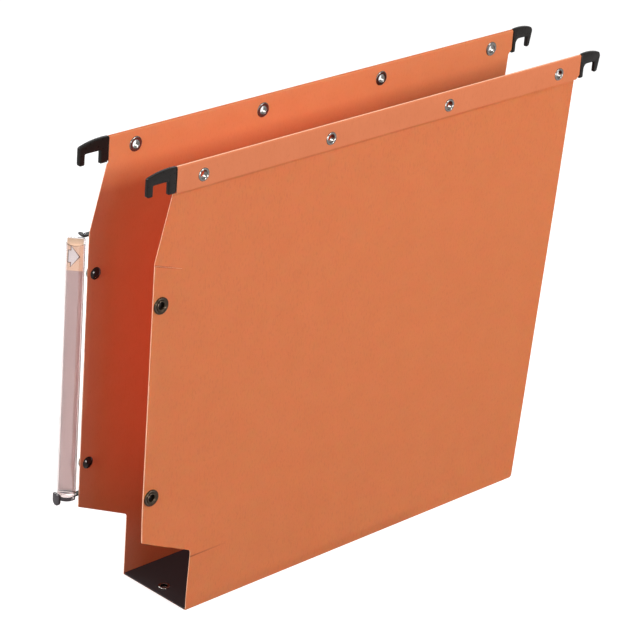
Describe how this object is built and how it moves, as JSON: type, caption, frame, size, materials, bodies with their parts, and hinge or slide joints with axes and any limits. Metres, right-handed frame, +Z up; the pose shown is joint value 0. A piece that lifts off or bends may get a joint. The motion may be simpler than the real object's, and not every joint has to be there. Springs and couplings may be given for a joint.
{
  "type": "hanging file folder",
  "caption": "Orange card hanging file for a lateral cupboard: hooked rails in the top hems, a flat plated base, linking snaps and a swivelling clear label holder.",
  "frame": {"origin": "underside of the base, midway between the two folds and midway along the top hems", "axes": "+X along the rails, away from the edges with the snaps; +Y from the front panel to the rear panel; +Z up"},
  "size_m": [0.3513, 0.062, 0.2662],
  "materials": {
    "kraft_card": "matt, faintly mottled",
    "black_plastic": "satin moulded",
    "nickel_eyelet": "nickel plated",
    "black_snap": "black gloss lacquer",
    "clear_plastic": "clear gloss",
    "label_paper": "matt print"
  },
  "bodies": {
    "base": {"base_sheet": "kraft_card", "base_plate": "black_plastic", "base_eyelets": "nickel_eyelet"},
    "front": {"front_panel": "kraft_card", "front_rail": "black_plastic", "front_eyelets": "nickel_eyelet", "front_snap_caps": "black_snap", "front_snap_sockets": "black_snap"},
    "rear": {"rear_panel": "kraft_card", "rear_rail": "black_plastic", "rear_eyelets": "nickel_eyelet", "rear_snap_caps": "black_snap", "rear_snap_studs": "black_snap", "label_bracket": "black_plastic"},
    "holder": {"label_tube": "clear_plastic", "label_cap": "black_plastic"},
    "card": {"label_card": "label_paper"}
  },
  "joints": [
    {"name": "front_panel_fold", "type": "hinge", "parent": "base", "child": "front", "pos_m": [0, -0.0255, 0.0002], "axis": [1, 0, 0], "range_deg": [-5, 85]},
    {"name": "rear_panel_fold", "type": "hinge", "parent": "base", "child": "rear", "pos_m": [0, 0.0255, 0.0002], "axis": [-1, 0, 0], "range_deg": [-5, 75]},
    {"name": "label_swivel", "type": "hinge", "parent": "rear", "child": "holder", "pos_m": [-0.168, 0.02781, 0.1365], "axis": [0, 0, 1], "range_deg": [-43, 47]},
    {"name": "label_slide", "type": "slide", "parent": "holder", "child": "card", "axis": [0, 0, 1], "range_m": [0, 0.038]}
  ]
}
